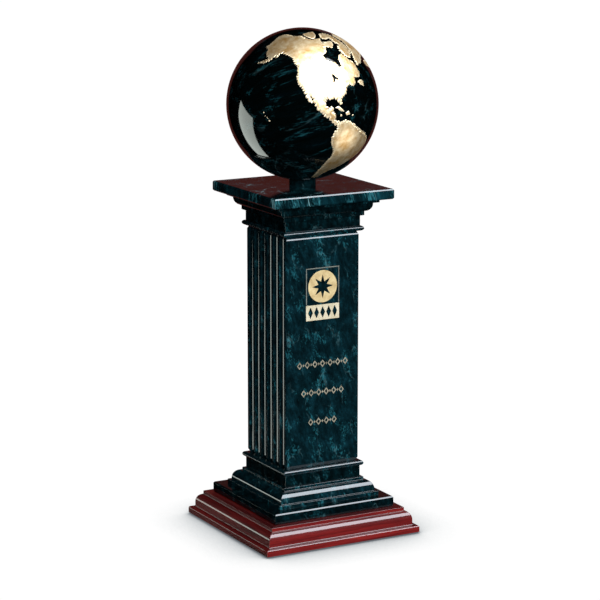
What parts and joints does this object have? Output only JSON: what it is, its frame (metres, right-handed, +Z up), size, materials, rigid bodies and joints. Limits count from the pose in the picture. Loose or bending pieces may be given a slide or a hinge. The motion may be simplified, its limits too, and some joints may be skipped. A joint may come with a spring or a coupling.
{
  "type": "column trophy",
  "caption": "Polished dark marble column trophy on a moulded wood base, with fluted sides, a gilded front panel and a marble globe with a gilded relief map.",
  "frame": {"origin": "centre of the square footprint, on the underside of the felt", "axes": "+Z up; -Y towards the viewer of the decorated front face; the two fluted faces look along -X and +X"},
  "size_m": [0.1524, 0.1524, 0.443],
  "materials": {
    "column_marble": "polished dark green-blue marble with lighter teal veins",
    "globe_marble": "polished dark green-blue marble, nearly black, with fine streaks",
    "globe_gilding": "satin gold fill in the sunk map",
    "front_gilding": "satin pale gold fill in the sunk front decoration",
    "stained_wood": "red-brown stain under gloss lacquer, grain along each rail",
    "core_board": "unfinished board",
    "felt": "matt green felt",
    "zinc_steel": "bright zinc-plated steel",
    "brass_insert": "plain turned brass"
  },
  "bodies": {
    "root": {"felt_pad": "felt", "wood_rail_front": "stained_wood", "wood_rail_right": "stained_wood", "wood_rail_back": "stained_wood", "wood_rail_left": "stained_wood", "wood_core_board": "core_board", "plinth_slab": "column_marble", "base_moulding": "column_marble", "base_neck_block": "column_marble", "base_bead": "column_marble", "shaft": "column_marble", "capital_bead": "column_marble", "capital_neck_block": "column_marble", "capital_moulding": "column_marble", "top_slab": "column_marble", "globe_collar": "globe_marble", "globe": "globe_marble", "flat_washer": "zinc_steel", "front_bar": "front_gilding", "front_frame": "front_gilding", "front_medal": "front_gilding", "front_rule_bottom": "front_gilding", "front_rule_middle": "front_gilding", "front_rule_top": "front_gilding", "globe_insert": "brass_insert", "hex_nut": "zinc_steel", "map_africa": "globe_gilding", "map_americas": "globe_gilding", "map_antarctica": "globe_gilding", "map_arctic_isle": "globe_gilding", "map_australia": "globe_gilding", "map_baffin_isle": "globe_gilding", "map_borneo": "globe_gilding", "map_cuba": "globe_gilding", "map_eurasia": "globe_gilding", "map_greenland": "globe_gilding", "map_hawaii_1": "globe_gilding", "map_hawaii_2": "globe_gilding", "map_hawaii_3": "globe_gilding", "map_hawaii_4": "globe_gilding", "map_hispaniola": "globe_gilding", "map_honshu": "globe_gilding", "map_iceland": "globe_gilding", "map_jamaica": "globe_gilding", "map_java": "globe_gilding", "map_luzon": "globe_gilding", "map_madagascar": "globe_gilding", "map_new_guinea": "globe_gilding", "map_new_zealand_north": "globe_gilding", "map_new_zealand_south": "globe_gilding", "map_newfoundland": "globe_gilding", "map_puerto_rico": "globe_gilding", "map_sumatra": "globe_gilding", "spring_washer": "zinc_steel", "tie_rod": "zinc_steel"}
  },
  "joints": []
}
